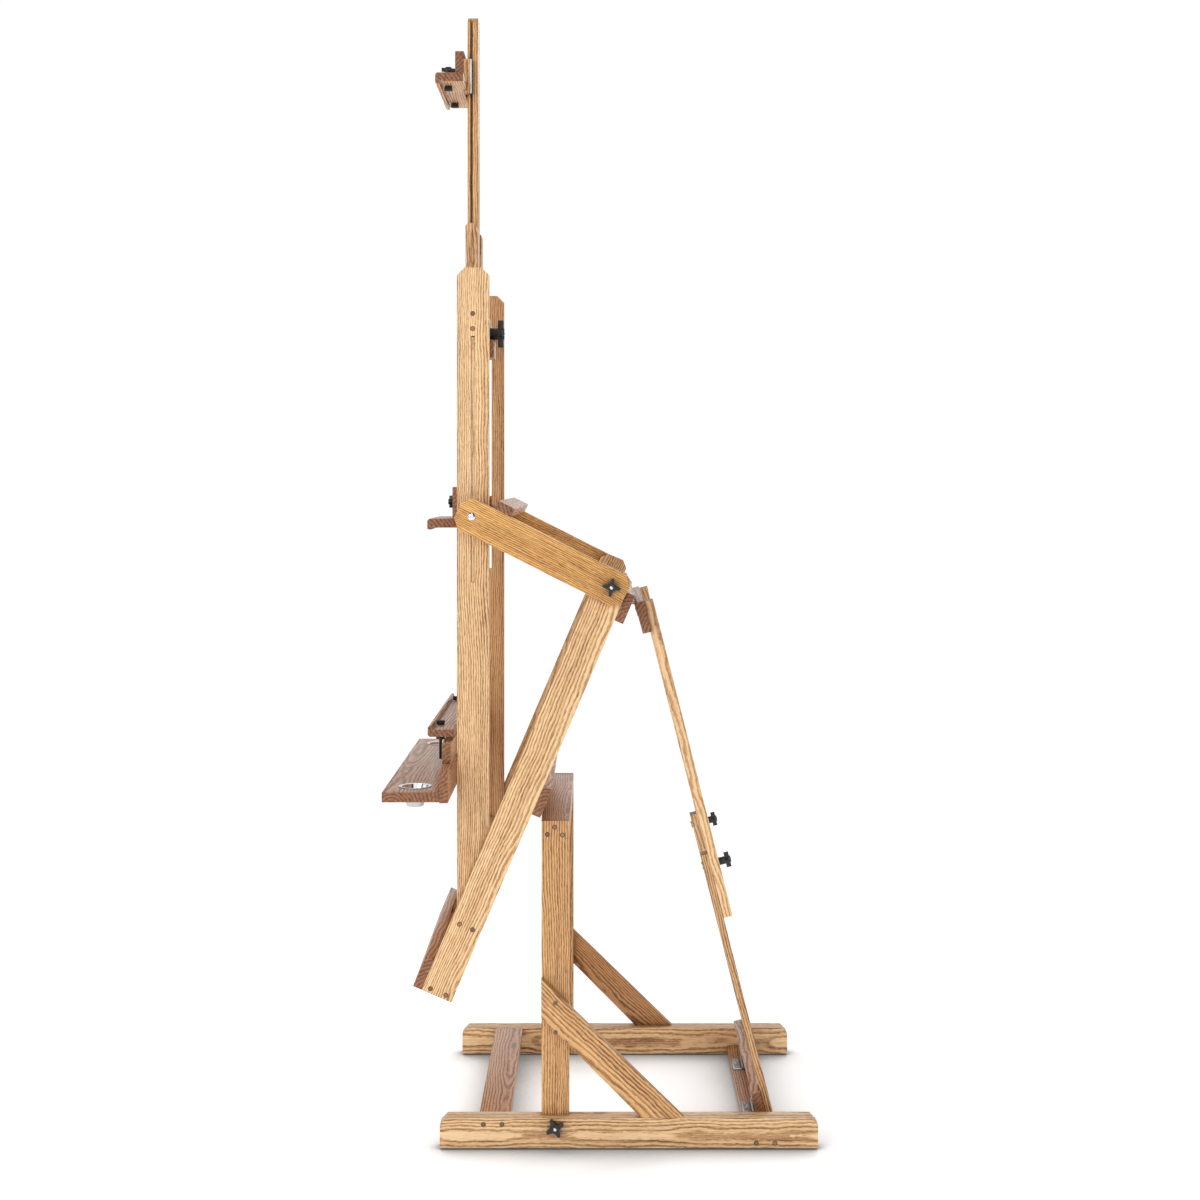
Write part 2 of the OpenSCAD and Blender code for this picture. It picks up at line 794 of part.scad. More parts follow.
// Tray board with two cup holes, and the board behind it
module tray() {
    back = apron_y + 2;
    color(dark_oak) {
        difference() {
            cross_board(tray_w, [back - tray_d, tray_z], [back - seam, tray_z + tray_t]);
            both_sides() translate([cup_x, cup_y, tray_z - 1]) cylinder(h = tray_t + 2, r = cup_hole_r);
        }
        cross_board(tray_w, [back, tray_back_z], [apron_y + board_t, tray_back_z + 67 - seam]);
    }
}

// Apron, slide plate and cleats that carry the ledge and the tray on the stiles
module tray_slide() {
    back = slide_y + slide_t;
    outline = [[slide_y, tray_back_z], [back, tray_back_z + 18], [back, ledge_z - seam],
               [slide_y, ledge_z - seam]];
    color(oak) {
        cross_board(600, [apron_y, tray_back_z + 67], [apron_y + board_t, apron_top]);
        side_board(-stile_x - 20, 2 * stile_x + 40, outline);
        both_sides() translate([stile_x + gap, back + seam, tray_back_z + 20])
            cube([20 - gap, groove_y + 4 - back, 90]);
    }
}

module cup() {
    wall = 1.2;
    rim_z = tray_z + tray_t;
    low = tray_z - 20;
    bottom_r = 17;
    outline = [[0, low], [bottom_r, low], [cup_hole_r - 0.6, rim_z], [cup_d / 2, rim_z],
               [cup_d / 2, rim_z + wall], [cup_hole_r - 1.8, rim_z + wall],
               [bottom_r - wall, low + wall], [0, low + wall]];
    translate([cup_x, cup_y, 0]) rotate_extrude($fn = 48) polygon(outline);
}

module cups() {
    color(steel) both_sides() cup();
}

runners();
uprights();
braces();
front_cross_board();
rear_cross_board();
top_cross_rail();
base_feet();
base_plugs();
brace_screws();
base_bolts();
base_hinge_leaves();
base_hinge_pins();
base_knob_left();
base_knob_right();
swing_members();
swing_foot_board();
swing_rungs();
swing_middle_board();
swing_top_board();
swing_plugs();
swing_hinge_leaves();
swing_pivot_pins();
prop_foot_rail();
lower_prop_slats();
prop_foot_leaves();
prop_bolts();
prop_knob_left();
prop_knob_right();
prop_head_board();
upper_prop_slats();
prop_head_leaves();
frame_sides();
frame_top_rail();
frame_bottom_rail();
frame_stiles();
frame_plugs();
mast_clamp_block();
mast_knob();
slot_bolts();
slot_knob_left();
slot_knob_right();
arms();
arm_cross_bar();
arm_knob_left();
arm_knob_right();
mast_stage();
upper_mast();
top_holder();
top_holder_tongues();
top_pad_left();
top_pad_right();
middle_holder();
middle_holder_tongues();
middle_knob();
ledge();
tray();
tray_slide();
ledge_pad_left();
ledge_pad_right();
cups();
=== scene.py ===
"""Looks for the oak studio easel. Every piece is in metres, in the CAD frame."""

import json
import math

import bmesh
import bpy
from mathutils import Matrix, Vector


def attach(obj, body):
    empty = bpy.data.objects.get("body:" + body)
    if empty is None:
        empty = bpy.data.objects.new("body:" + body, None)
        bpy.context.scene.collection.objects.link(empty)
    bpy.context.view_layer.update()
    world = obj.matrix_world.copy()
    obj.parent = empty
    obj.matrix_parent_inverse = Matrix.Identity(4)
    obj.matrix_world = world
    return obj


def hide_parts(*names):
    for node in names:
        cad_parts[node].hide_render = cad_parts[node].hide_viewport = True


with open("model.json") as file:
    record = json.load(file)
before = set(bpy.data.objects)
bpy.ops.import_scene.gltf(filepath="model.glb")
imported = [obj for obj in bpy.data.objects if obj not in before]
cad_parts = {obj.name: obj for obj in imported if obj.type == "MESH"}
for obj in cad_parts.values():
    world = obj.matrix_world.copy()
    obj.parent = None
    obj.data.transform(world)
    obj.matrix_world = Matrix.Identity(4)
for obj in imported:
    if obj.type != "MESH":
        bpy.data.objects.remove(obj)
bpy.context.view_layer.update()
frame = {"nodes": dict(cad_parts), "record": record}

MM = 0.001
WELD = 2e-6    # corners nearer than this are one corner
ON_AXIS = 1e-7    # a smaller radius is a point on the axis
BODY_OF = {n: b for b, ns in frame["record"]["behaviour"]["bodies"].items() for n in ns}
SLOT_OF = {s["node"]: s["material_slot"] for s in frame["record"]["subparts"]}
JOINT_OF = {j["child"]: j for j in frame["record"]["behaviour"]["joints"]}


# ---------- node helpers ----------

class Graph:
    """The node tree of a new material or world, with methods for nodes used often."""

    def __init__(self, name, kind="materials"):
        self.owner = getattr(bpy.data, kind).new(name)
        self.owner.use_nodes = True
        self.tree = self.owner.node_tree
        self.tree.nodes.clear()

    def feed(self, socket, value):
        """Gives an input a plain value or another node's output."""
        if hasattr(value, "is_output"):
            self.tree.links.new(value, socket)
        else:
            socket.default_value = value

    def new(self, kind, inputs=None, **attributes):
        """A node with its attributes set and its inputs fed."""
        node = self.tree.nodes.new(kind)
        for key, value in attributes.items():
            setattr(node, key, value)
        for key, value in (inputs or {}).items():
            self.feed(node.inputs[key], value)
        return node

    def math(self, operation, a, b=0.0, clamp=False):
        """One step of arithmetic."""
        node = self.new("ShaderNodeMath", {0: a, 1: b}, operation=operation)
        node.use_clamp = clamp
        return node.outputs[0]

    def mix(self, factor, a, b, blend="MIX"):
        """Two colours mixed."""
        node = self.new("ShaderNodeMix", {0: factor, 6: a, 7: b}, data_type="RGBA",
                        blend_type=blend)
        return node.outputs[2]

    def pick(self, factor, a, b):
        """Two numbers mixed."""
        node = self.new("ShaderNodeMix", {0: factor, 2: a, 3: b}, data_type="FLOAT")
        return node.outputs[0]

    def scaled(self, vector, scale):
        """A vector multiplied axis by axis."""
        node = self.new("ShaderNodeVectorMath", {0: vector, 1: scale}, operation="MULTIPLY")
        return node.outputs[0]

    def noise(self, vector, scale=1.0, detail=2.0, rough=0.5):
        """Noise between 0 and 1, mostly near 0.5."""
        node = self.new("ShaderNodeTexNoise", {"Vector": vector, "Scale": scale,
                                               "Detail": detail, "Roughness": rough})
        return node.outputs["Fac"]

    def ramp(self, factor, stops):
        """A colour ramp. A stop's colour may be one grey level, or red, green and blue."""
        node = self.new("ShaderNodeValToRGB", {"Fac": factor})
        ramp = node.color_ramp
        while len(ramp.elements) < len(stops):
            ramp.elements.new(0.5)
        for element, (place, color) in zip(ramp.elements, stops):
            element.position = place
            if isinstance(color, float):
                color = (color,) * 3
            element.color = color if len(color) == 4 else (*color, 1)
        return node.outputs["Color"]

    def length(self, vector):
        """A point's distance from the X axis."""
        split = self.new("ShaderNodeSeparateXYZ", {0: vector})
        squares = [self.math("POWER", split.outputs[k], 2.0) for k in (1, 2)]
        return self.math("SQRT", self.math("ADD", *squares))

    def finish(self, bsdf_inputs, height=None, strength=0.3, distance=0.0004):
        """The material, with height as its bump in metres of distance."""
        if height is not None:
            bump = self.new("ShaderNodeBump", {"Strength": strength, "Distance": distance,
                                               "Height": height})
            bsdf_inputs["Normal"] = bump.outputs[0]
        bsdf = self.new("ShaderNodeBsdfPrincipled", bsdf_inputs)
        out = self.new("ShaderNodeOutputMaterial")
        self.tree.links.new(bsdf.outputs[0], out.inputs[0])
        return self.owner


def srgb(r, g, b):
    """A colour given as 0-255 screen values, as linear light."""
    def linear(v):
        v /= 255
        return v / 12.92 if v <= 0.04045 else ((v + 0.055) / 1.055) ** 2.4
    return (linear(r), linear(g), linear(b), 1.0)


# ---------- materials ----------

def painted_crease_shade(g, reach=0.016, dark=0.10):
    """Painted shade in grooves and corners, from ambient occlusion, as a colour to multiply by."""
    node = g.new("ShaderNodeAmbientOcclusion", {"Distance": reach}, samples=6)
    return g.ramp(node.outputs["AO"], [(0.0, dark), (0.30, 0.45), (0.62, 0.92), (0.8, 1.0)])


def oak(name, pale, mid, deep, ring, ring_share):
    """Red oak along the board's own axes, from the grain attribute: X along the board,
    and Y and Z across it from the heart of the tree, in metres. There are ring rings per
    metre, and ring_share is how strongly they show."""
    g = Graph(name)
    grain = g.new("ShaderNodeAttribute", attribute_name="grain").outputs["Vector"]
    tone = g.new("ShaderNodeAttribute", attribute_name="tone").outputs["Fac"]
    # growth rings round the heart, bent along the board, wavy, and ragged at their pores
    bent = g.length(grain)
    for stretch, share in (((1.1, 5.0, 5.0), 0.050), ((7.0, 9.0, 9.0), 0.012),
                           ((30.0, 60.0, 60.0), 0.0030), ((90.0, 500.0, 500.0), 0.0028)):
        wave = g.noise(g.scaled(grain, stretch), 1.0, 1.0, 0.5)
        bent = g.math("ADD", bent, g.math("MULTIPLY", wave, share))
    phase = g.math("FRACT", g.math("MULTIPLY", bent, ring))
    rings = g.ramp(phase, [(0.0, 0.40), (0.08, 0.0), (0.30, 0.10), (0.48, 0.72), (0.70, 1.0),
                           (0.92, 0.90), (1.0, 0.40)])
    # streaks and hair lines drawn out along the board, and short open pores
    band = g.noise(g.scaled(grain, (0.8, 45.0, 45.0)), 1.0, 2.0, 0.6)
    streak = g.noise(g.scaled(grain, (9.0, 420.0, 420.0)), 1.0, 3.0, 0.7)
    fibre = g.noise(g.scaled(grain, (24.0, 1300.0, 1300.0)), 1.0, 3.0, 0.65)
    pores = g.noise(g.scaled(grain, (80.0, 1300.0, 1300.0)), 1.0, 1.0, 0.5)
    # noise sits round 0.5 and the rings round 0.62, so each share counts from there
    value = g.math("MULTIPLY", g.math("SUBTRACT", rings, 0.62), ring_share)
    for source, share in ((streak, 1.0), (band, 0.8), (fibre, 0.9)):
        value = g.math("ADD", value, g.math("MULTIPLY", g.math("SUBTRACT", source, 0.5), share))
    value = g.math("ADD", value, 0.60, clamp=True)    # the level of plain wood
    between = tuple(0.45 * a + 0.55 * b for a, b in zip(deep, mid))
    base = g.ramp(value, [(0.0, deep), (0.28, between), (0.55, mid), (0.95, pale)])
    pore = g.ramp(pores, [(0.36, 1.0), (0.45, 0.0)])
    porous = g.math("MULTIPLY", pore, g.math("SUBTRACT", 1.05, value, clamp=True), clamp=True)
    base = g.mix(g.math("MULTIPLY", porous, 0.6), base, srgb(88, 50, 26))
    # tone darkens and reddens a board: random board colour, and painted shade on the far side of
    # some boards
    shade = g.ramp(tone, [(0.0, (0.70, 0.58, 0.48)), (0.5, 0.98), (1.0, (1.08, 1.07, 1.04))])
    base = g.mix(1.0, base, shade, "MULTIPLY")
    # painted shade in grooves and corners
    base = g.mix(1.0, base, painted_crease_shade(g), "MULTIPLY")
    relief = g.math("SUBTRACT", g.math("MULTIPLY", value, 0.4), g.math("MULTIPLY", porous, 0.7))
    rough = g.math("ADD", 0.40, g.math("MULTIPLY", porous, 0.25))
    return g.finish({"Base Color": base, "Roughness": rough, "Coat Weight": 0.10,
                     "Coat Roughness": 0.25, "IOR": 1.45}, relief, 0.25, 0.0003)


def end_oak(name, pale, deep):
    """End grain: curved rings with rows of open pores, darker and redder than the face."""
    ring = 135.0    # rings per metre
    g = Graph(name)
    grain = g.new("ShaderNodeAttribute", attribute_name="grain").outputs["Vector"]
    tone = g.new("ShaderNodeAttribute", attribute_name="tone").outputs["Fac"]
    drift = g.noise(g.scaled(grain, (4.0, 30.0, 30.0)), 1.0, 2.0)
    bent = g.math("ADD", g.length(grain), g.math("MULTIPLY", drift, 0.010))
    phase = g.math("FRACT", g.math("MULTIPLY", bent, ring))
    rings = g.ramp(phase, [(0.0, 0.2), (0.10, 0.0), (0.35, 0.25), (0.55, 0.9), (0.9, 0.8),
                           (1.0, 0.2)])
    speck = g.noise(g.scaled(grain, (200.0, 1500.0, 1500.0)), 1.0, 2.0, 0.6)
    patch = g.noise(g.scaled(grain, (9.0, 160.0, 160.0)), 1.0, 3.0, 0.6)
    level = g.math("ADD", g.math("MULTIPLY", rings, 0.55),
                   g.math("MULTIPLY", g.math("SUBTRACT", patch, 0.36), 1.3), clamp=True)
    base = g.mix(level, deep, pale)
    base = g.mix(g.ramp(speck, [(0.38, 0.9), (0.54, 0.0)]), base, srgb(70, 34, 18))
    # tone: random board colour, and painted shade on the far side of some boards
    shade = g.ramp(tone, [(0.0, 0.85), (1.0, 1.08)])
    # the board's tone, then painted shade in grooves and corners
    base = g.mix(1.0, g.mix(1.0, base, shade, "MULTIPLY"), painted_crease_shade(g), "MULTIPLY")
    return g.finish({"Base Color": base, "Roughness": 0.55, "Coat Weight": 0.1,
                     "Coat Roughness": 0.3}, speck, 0.25, 0.0003)


def plastic(name):
    """Moulded black plastic with a fine spark-eroded texture and worn highlights."""
    g = Graph(name)
    place = g.new("ShaderNodeTexCoord").outputs["Object"]
    fine = g.noise(place, 2600.0, 2.0, 0.6)
    patch = g.noise(place, 90.0, 2.0, 0.5)
    base = g.mix(patch, srgb(20, 20, 22), srgb(34, 34, 37))
    rough = g.math("ADD", 0.30, g.math("MULTIPLY", patch, 0.16))
    return g.finish({"Base Color": base, "Roughness": rough, "Specular IOR Level": 0.55},
                    fine, 0.16, 0.0001)


def rubber(name):
    """Matt black rubber."""
    g = Graph(name)
    place = g.new("ShaderNodeTexCoord").outputs["Object"]
    fine = g.noise(place, 1500.0, 3.0, 0.6)
    base = g.mix(fine, srgb(22, 22, 22), srgb(42, 41, 40))
    return g.finish({"Base Color": base, "Roughness": 0.82}, fine, 0.3, 0.0002)


def metal(name, tint, rough, brushed, crease_shade_level=0.35):
    """Plated steel, with brushing drawn out along X when brushed is above zero. Its colour
    carries a painted dark reflection where it is seen edge on, and painted shade in creases."""
    g = Graph(name)
    place = g.new("ShaderNodeTexCoord").outputs["Object"]
    lines = g.noise(g.scaled(place, (90.0, 2200.0, 2200.0)), 1.0, 2.0, 0.6)
    blotch = g.noise(place, 60.0, 3.0, 0.6)
    stained = (tint[0] * 0.7, tint[1] * 0.72, tint[2] * 0.76, 1)
    base = g.mix(g.math("MULTIPLY", blotch, 0.5), tint, stained)
    # painted dark reflection: the colour darkens where the metal is seen edge on
    facing = g.new("ShaderNodeLayerWeight", {"Blend": 0.5}).outputs["Facing"]
    edge = g.ramp(facing, [(0.55, 1.0), (0.90, 0.35), (1.0, 0.12)])
    # painted shade in creases, on top of the painted edge-on reflection
    base = g.mix(1.0, g.mix(1.0, base, edge, "MULTIPLY"), painted_crease_shade(g, 0.03, crease_shade_level), "MULTIPLY")
    value = g.math("ADD", rough, g.math("MULTIPLY", lines, 0.22 * brushed))
    return g.finish({"Base Color": base, "Metallic": 1.0, "Roughness": value},
                    lines, 0.12 * brushed, 0.0002)


def plug_wood(name):
    """Face of a wooden plug: brown wood with a dark glue line at its edge."""
    g = Graph(name)
    grain = g.new("ShaderNodeAttribute", attribute_name="grain").outputs["Vector"]
    edge = g.new("ShaderNodeAttribute", attribute_name="tone").outputs["Fac"]
    fibre = g.noise(g.scaled(grain, (60.0, 900.0, 900.0)), 1.0, 3.0, 0.6)
    base = g.mix(fibre, srgb(130, 82, 48), srgb(186, 134, 86))
    each = g.noise(g.scaled(grain, (1.7, 0.0, 0.0)), 1.0, 0.0)
    base = g.mix(1.0, base, g.ramp(each, [(0.42, 0.5), (0.56, 1.0)]), "MULTIPLY")
    base = g.mix(g.ramp(edge, [(0.70, 0.0), (0.80, 0.95)]), base, srgb(44, 24, 12))
    return g.finish({"Base Color": base, "Roughness": 0.42, "Coat Weight": 0.2}, fibre, 0.2, 0.0002)


light = oak("light_oak", srgb(246, 211, 162), srgb(220, 174, 122), srgb(126, 76, 38), 225.0, 0.60)
warm = oak("warm_oak", srgb(232, 185, 126), srgb(206, 153, 97), srgb(106, 60, 26), 225.0, 0.66)
golden = oak("golden_oak", srgb(238, 188, 112), srgb(205, 146, 76), srgb(104, 58, 22), 250.0, 0.56)
dark = oak("dark_oak", srgb(214, 166, 122), srgb(182, 128, 86), srgb(96, 54, 30), 200.0, 0.62)
light_end = end_oak("light_oak_end", srgb(206, 144, 94), srgb(112, 62, 32))
dark_end = end_oak("dark_oak_end", srgb(202, 138, 92), srgb(96, 52, 30))
plug_mat = plug_wood("plug_wood")
black = plastic("black_plastic")
rubber_mat = rubber("black_rubber")
steel = metal("zinc_steel", (0.62, 0.63, 0.65, 1), 0.26, 1.0)
aged = metal("dull_screw_steel", (0.20, 0.17, 0.13, 1), 0.38, 0.6)
stud_steel = metal("black_stud_steel", (0.035, 0.035, 0.038, 1), 0.30, 0.8)
chrome = metal("bright_chrome", (0.82, 0.83, 0.85, 1), 0.06, 0.15, 0.15)


# ---------- mesh helpers ----------

def new_object(name, bm, materials, smooth=30):
    """An object from a bmesh, shaded smooth except at edges sharper than smooth degrees."""
    mesh = bpy.data.meshes.new(name)
    bm.to_mesh(mesh)
    bm.free()
    obj = bpy.data.objects.new(name, mesh)
    bpy.context.scene.collection.objects.link(obj)
    for m in materials:
        mesh.materials.append(m)
    if smooth:
        mesh.shade_smooth()
        mesh.set_sharp_from_angle(angle=math.radians(smooth))
    return obj


def place(obj, body, slot, *nodes):
    """The piece rides on a body and stands for its CAD nodes, if any. The slot argument is not
    used.
    """
    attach(obj, body)
    if nodes:
        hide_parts(*nodes)
    return obj


def clean_copy(node):
    """The CAD node's mesh with its split corners joined and its flat faces merged."""
    bm = bmesh.new()
    bm.from_mesh(frame["nodes"][node].data)
    bmesh.ops.remove_doubles(bm, verts=bm.verts, dist=WELD)
    bmesh.ops.dissolve_limit(bm, angle_limit=math.radians(1.0), verts=bm.verts, edges=bm.edges)
    return bm


def loose_parts(bm):
    """Lists of faces, one list for each separate solid."""
    seen, parts = set(), []
    for start in bm.faces:
        if start in seen:
            continue
        seen.add(start)
        stack, part = [start], []
        while stack:
            face = stack.pop()
            part.append(face)
            for edge in face.edges:
                for other in edge.link_faces:
                    if other not in seen:
                        seen.add(other)
                        stack.append(other)
        parts.append(part)
    return parts


def board_axes(faces):
    """Along, across and through directions of a board, and its middle."""
    edges = {e for f in faces for e in f.edges}
    longest = max(edges, key=lambda e: (round(e.calc_length(), 5), round(e.verts[0].co.x, 4)))
    along = (longest.verts[1].co - longest.verts[0].co).normalized()
    if max(along, key=abs) < 0:    # the same direction whichever way the edge runs
        along = -along
    flat = [f for f in faces if abs(f.normal.dot(along)) < 0.2]
    through = max(flat, key=lambda f: (round(f.calc_area(), 7), round(f.normal.x, 3))).normal.copy()
    through = (through - along * through.dot(along)).normalized()
    across = through.cross(along)
    points = [v.co for f in faces for v in f.verts]
    middle = sum(points, Vector()) / len(points)
    return along, across, through, middle


def bevel_edges(bm, width, angle=35):
    """Rounds every edge sharper than angle degrees."""
    edges = [e for e in bm.edges if len(e.link_faces) == 2
             and e.calc_face_angle(0) > math.radians(angle)]
    bmesh.ops.bevel(bm, geom=edges, offset=width, segments=2, profile=0.6, affect="EDGES",
                    clamp_overlap=True)


EASED_EDGE = 1.1 * MM
END_FACING = 0.75    # end grain shows on faces that look along the board at least this much
# Where a board was cut: the heart of the tree, across and through from its middle, in metres.
HEART = {
    "frame_sides": (0.075, 0.020), "swing_members": (0.026, 0.018), "runners": (0.012, 0.014),
    "uprights": (0.055, 0.030), "braces": (0.030, 0.020), "front_cross_board": (0.020, 0.016),
    "rear_cross_board": (0.010, 0.016), "arms": (0.10, 0.03), "tray": (0.030, 0.016),
    "top_cross_rail": (0.020, 0.016)}
USUAL_HEART = (0.05, 0.04)
# How pale the boards are on the two sides of the easel: lowest X, highest X.
# Lower values on the lowest-X side, away from the camera, are painted shade.
TONE_AND_SIDE_SHADE = {"frame_sides": (0.04, 0.55), "braces": (0.10, 0.48), "swing_members": (0.28, 0.62),
         "runners": (0.55, 0.50), "uprights": (0.35, 0.42), "arms": (0.40, 0.50),
         "top_holder": (0.30, 0.30)}


def wood(node, face_mat, end_mat, seed):
    """A wooden node with eased edges, end grain, and grain along each board."""
    heart = HEART.get(node, USUAL_HEART)
    bm = clean_copy(node)
    frames = [board_axes(part) for part in loose_parts(bm)]
    bevel_edges(bm, EASED_EDGE)
    grain = bm.verts.layers.float_vector.new("grain")
    shade = bm.verts.layers.float.new("tone")
    bm.normal_update()
    for index, part in enumerate(loose_parts(bm)):
        points = {v for f in part for v in f.verts}
        middle = sum((v.co for v in points), Vector()) / len(points)
        along, across, through, origin = min(frames, key=lambda f: (f[3] - middle).length)
        key = seed * 7 + index * 3 + 1    # fixed scatter, another for every board
        jitter = [math.sin(key * k) * 43758.5453 % 1.0 for k in (12.9898, 78.233, 37.719)]
        offset = Vector((jitter[0] * 9.0, heart[0] + jitter[1] * 0.015,
                         heart[1] + jitter[2] * 0.01))
        # a listed node's level is set by side, the lower far-side (low X) levels being painted
        # shade; other boards get a random tone
        level = TONE_AND_SIDE_SHADE[node][middle.x > 0] if node in TONE_AND_SIDE_SHADE else 0.3 + 0.4 * jitter[2]
        for v in points:
            d = v.co - origin
            v[grain] = Vector((d.dot(along), d.dot(across), d.dot(through))) + offset
            v[shade] = level
        for f in part:
            f.material_index = 1 if abs(f.normal.dot(along)) > END_FACING else 0
    obj = new_object(node + "_wood", bm, [face_mat, end_mat])
    return place(obj, BODY_OF[node], SLOT_OF[node], node)


def dressed(node, mat, width=0.35):
    """A metal or plastic node with softened edges."""
    bm = clean_copy(node)
    bevel_edges(bm, width * MM, 40)
    return place(new_object(node + "_piece", bm, [mat], 35), BODY_OF[node], SLOT_OF[node], node)


# ---------- wood ----------

LIGHT = ["runners", "frame_sides", "frame_top_rail", "frame_bottom_rail", "frame_stiles",
         "mast_stage", "tray_slide", "swing_members", "swing_rungs", "lower_prop_slats",
         "upper_prop_slats"]
WARM = ["uprights", "braces", "upper_mast"]
DARK = ["front_cross_board", "rear_cross_board", "top_cross_rail", "swing_foot_board",
        "swing_middle_board", "swing_top_board", "prop_foot_rail", "prop_head_board",
        "mast_clamp_block", "arm_cross_bar", "middle_holder", "ledge", "tray"]
for number, node in enumerate(LIGHT):
    wood(node, light, light_end, seed=number)
for number, node in enumerate(WARM):
    wood(node, warm, light_end, seed=number + 20)
for number, node in enumerate(DARK):
    wood(node, dark, dark_end, seed=number + 40)
wood("top_holder", warm, dark_end, seed=60)
wood("arms", golden, light_end, seed=80)


# ---------- turned pieces ----------

def revolve(bm, base, axis, profile, steps=32):
    """A surface turned about an axis. The profile holds (distance along, radius) pairs."""
    axis = Vector(axis).normalized()
    side = axis.orthogonal().normalized()
    up = axis.cross(side)
    rings = []
    for along, radius in profile:
        centre = Vector(base) + axis * along
        turns = [2 * math.pi * k / steps for k in range(steps)] if radius > ON_AXIS else [0.0]
        rings.append([bm.verts.new(centre + (side * math.cos(t) + up * math.sin(t)) * radius)
                      for t in turns])
    for a, b in zip(rings, rings[1:]):
        for k in range(steps):
            m = (k + 1) % steps
            if len(a) > 1 and len(b) > 1:
                bm.faces.new((a[k], a[m], b[m], b[k]))
            elif len(b) > 1:
                bm.faces.new((a[0], b[m], b[k]))
            elif len(a) > 1:
                bm.faces.new((a[k], a[m], b[0]))


def solid_boxes(node):
    """Lowest and highest corner of each separate solid of a CAD node."""
    bm = clean_copy(node)
    out = []
    for part in loose_parts(bm):
        points = [v.co for f in part for v in f.verts]
        out.append((Vector([min(p[k] for p in points) for k in range(3)]),
                    Vector([max(p[k] for p in points) for k in range(3)])))
    bm.free()
    return sorted(out, key=lambda b: tuple(round(c, 5) for c in b[0]))


def outward(low, high):
    """For a rod along X: its outward axis, its centre line, both ends and its radius."""
    middle = (low + high) / 2
    sign = 1.0 if middle.x > 0 else -1.0
    inner, outer = sorted((abs(low.x), abs(high.x)))
    return Vector((sign, 0, 0)), Vector((0, middle.y, middle.z)), inner, outer, (high.y - low.y) / 2


def dome(start, radius, height):
    """Profile of a rounded head that stands on start."""
    shape = ((0.0, 1.0), (0.3, 0.97), (0.6, 0.82), (0.85, 0.52), (0.97, 0.22), (1.0, 0.0))
    return [(start + height * a, radius * r) for a, r in shape]


def slot_bolt_set():
    """Domed carriage bolts and the spacers between the arms and the frame's sides."""
    shank, bore, head_h = 3.2 * MM, 3.25 * MM, 3.5 * MM
    ease = 0.5 * MM
    spacer_r = 10 * MM    # only spacers are wider
    bm = bmesh.new()
    for low, high in solid_boxes("slot_bolts"):
        axis, centre, inner, outer, radius = outward(low, high)
        if radius > spacer_r:
            revolve(bm, centre, axis, [(inner, bore), (inner, radius - ease),
                                       (inner + ease, radius), (outer - ease, radius),
                                       (outer, radius - ease), (outer, bore), (inner, bore)])
        else:
            head = outer - head_h
            revolve(bm, centre, axis, [(inner, 0.0), (inner, shank - 0.3 * MM),
                                       (inner + 0.3 * MM, shank), (head, shank)]
                    + dome(head, radius, head_h))
    bmesh.ops.recalc_face_normals(bm, faces=bm.faces)
    place(new_object("slot_bolt_set", bm, [chrome]), BODY_OF["slot_bolts"], "chrome", "slot_bolts")


def screw_domes(node, radius, height):
    """Rounded screw heads in place of the CAD's flat ones."""
    bm = bmesh.new()
    for low, high in solid_boxes(node):
        axis, centre, inner, _, _ = outward(low, high)
        revolve(bm, centre, axis, [(inner, 0.0)] + dome(inner, radius, height), 24)
    place(new_object(node + "_domes", bm, [aged]), BODY_OF[node], SLOT_OF[node], node)


def plugs(node):
    """Wooden plugs, each with a dark glue line round it."""
    bm = bmesh.new()
    grain = bm.verts.layers.float_vector.new("grain")
    shade = bm.verts.layers.float.new("tone")
    for number, (low, high) in enumerate(solid_boxes(node)):
        axis, centre, inner, outer, radius = outward(low, high)
        first = len(bm.verts)    # the vertices of this plug start here
        revolve(bm, centre, axis, [(inner, 0.0), (inner, radius), (outer - 0.1 * MM, radius),
                                   (outer, radius * 0.97), (outer, radius * 0.83), (outer, 0.0)])
        bm.verts.ensure_lookup_table()
        for v in bm.verts[first:]:
            off = (v.co - centre) - axis * (v.co - centre).dot(axis)
            v[grain] = off + Vector((number * 0.37, 0.0, 0.0))
            v[shade] = off.length / radius
    place(new_object(node + "_faces", bm, [plug_mat]), BODY_OF[node], SLOT_OF[node], node)


def cup_pair():
    """Spun metal cups with a rolled rim, bright inside and duller outside."""
    steps, outside = 48, 3    # the profile's first bands are the cup's outside
    bm = bmesh.new()
    for low, high in solid_boxes("cups"):
        rim = (high.x - low.x) / 2 / MM
        tall = (high.z - low.z) / MM
        base = Vector(((low.x + high.x) / 2, (low.y + high.y) / 2, low.z))
        shape = [(0.0, 0.0), (0.0, 15.4), (0.9, 17.0), (tall - 1.2, 28.3), (tall - 1.2, rim - 0.6),
                 (tall - 0.7, rim), (tall - 0.2, rim - 0.5), (tall, rim - 2.0), (tall - 0.1, 29.4),
                 (tall - 1.1, 27.4), (2.7, 16.0), (1.3, 14.2), (1.2, 0.0)]
        first = len(bm.faces)
        revolve(bm, base, (0, 0, 1), [(a * MM, r * MM) for a, r in shape], steps)
        bm.faces.ensure_lookup_table()
        for f in bm.faces[first:first + outside * steps]:
            f.material_index = 1
    place(new_object("cup_pair_spun", bm, [chrome, steel], 40), BODY_OF["cups"], "chrome", "cups")


def joint_line(node):
    """The axis a knob turns on, and how far along it each end of the node lies."""
    joint = JOINT_OF[BODY_OF[node]]
    at, axis = Vector(joint["pos_m"]), Vector(joint["axis"]).normalized()
    along = [(v.co - at).dot(axis) for v in frame["nodes"][node].data.vertices]
    return at, axis, min(along), max(along)


